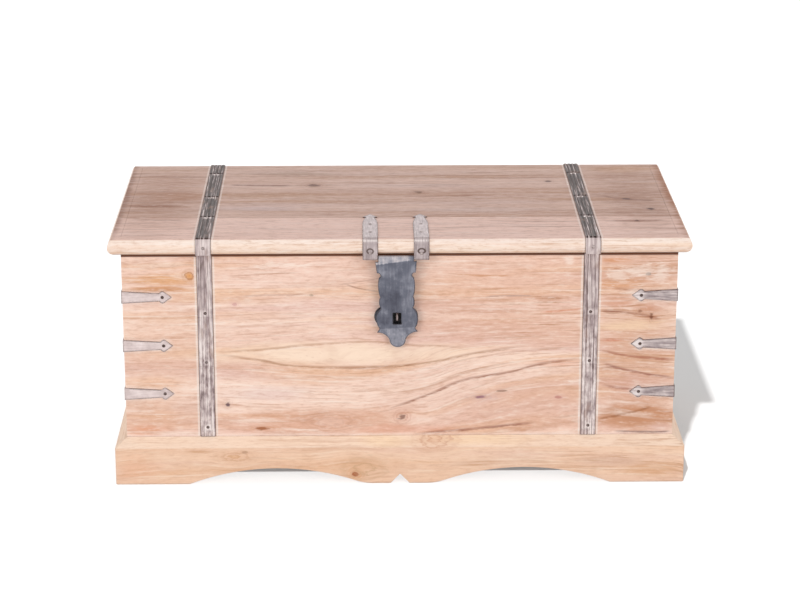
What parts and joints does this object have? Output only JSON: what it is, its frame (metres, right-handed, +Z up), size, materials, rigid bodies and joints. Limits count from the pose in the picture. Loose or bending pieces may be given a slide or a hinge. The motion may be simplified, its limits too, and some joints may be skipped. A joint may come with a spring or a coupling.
{
  "type": "wooden storage chest",
  "caption": "Low rectangular wooden storage chest with a hinged overhanging lid, reeded iron bands, corner straps, a scalloped hasp with staple and an arched plinth.",
  "frame": {"origin": "on the floor under the middle of the chest", "axes": "+X to the chest's right seen from the front, +Z up, the front faces -Y"},
  "size_m": [0.9, 0.4551, 0.4057],
  "materials": {
    "wall_wood": "sanded, bare, warm",
    "lid_wood": "sanded, bare, greyed",
    "plinth_wood": "sanded, bare",
    "inner_wood": "sawn, bare",
    "band_iron": "dark, worn bright",
    "strap_iron": "pale, worn",
    "hasp_steel": "brushed, dull",
    "hinge_steel": "plain",
    "nail_iron": "dull"
  },
  "bodies": {
    "carcass": {"front_board_lower": "wall_wood", "front_board_upper": "wall_wood", "back_board_lower": "wall_wood", "back_board_upper": "wall_wood", "left_board_lower": "wall_wood", "left_board_upper": "wall_wood", "right_board_lower": "wall_wood", "right_board_upper": "wall_wood", "floor_board_front": "inner_wood", "floor_board_back": "inner_wood", "floor_cleat_front": "inner_wood", "floor_cleat_back": "inner_wood", "plinth_front": "plinth_wood", "plinth_back": "plinth_wood", "plinth_left": "plinth_wood", "plinth_right": "plinth_wood", "front_band_left": "band_iron", "front_band_right": "band_iron", "corner_strap_front_left_top": "strap_iron", "corner_strap_front_left_middle": "strap_iron", "corner_strap_front_left_bottom": "strap_iron", "corner_strap_front_right_top": "strap_iron", "corner_strap_front_right_middle": "strap_iron", "corner_strap_front_right_bottom": "strap_iron", "corner_strap_back_left_top": "strap_iron", "corner_strap_back_left_middle": "strap_iron", "corner_strap_back_left_bottom": "strap_iron", "corner_strap_back_right_top": "strap_iron", "corner_strap_back_right_middle": "strap_iron", "corner_strap_back_right_bottom": "strap_iron", "staple_plate": "hasp_steel", "staple": "hasp_steel", "hinge_lower_leaf_left": "hinge_steel", "hinge_lower_leaf_right": "hinge_steel", "hinge_pin_left": "hinge_steel", "hinge_pin_right": "hinge_steel", "front_band_nails": "nail_iron", "corner_strap_nails": "nail_iron", "staple_plate_nails": "nail_iron", "hinge_lower_nails": "hinge_steel"},
    "lid": {"lid_board_front": "lid_wood", "lid_board_middle": "lid_wood", "lid_board_back": "lid_wood", "lid_moulding_front": "lid_wood", "lid_moulding_back": "lid_wood", "lid_moulding_left": "lid_wood", "lid_moulding_right": "lid_wood", "lid_batten_left": "inner_wood", "lid_batten_right": "inner_wood", "lid_band_left": "band_iron", "lid_band_right": "band_iron", "hasp_strap_left": "strap_iron", "hasp_strap_right": "strap_iron", "hasp_pin": "hasp_steel", "hinge_upper_leaf_left": "hinge_steel", "hinge_upper_leaf_right": "hinge_steel", "lid_nails": "nail_iron", "hinge_upper_nails": "hinge_steel"},
    "hasp": {"hasp_plate": "hasp_steel"}
  },
  "joints": [
    {"name": "lid_hinge", "type": "hinge", "parent": "carcass", "child": "lid", "pos_m": [0, 0.211, 0.3754], "axis": [-1, 0, 0], "range_deg": [0, 110]},
    {"name": "hasp_hinge", "type": "hinge", "parent": "lid", "child": "hasp", "pos_m": [-0.0065, -0.223, 0.373], "axis": [-1, 0, 0], "range_deg": [0, 110]}
  ]
}
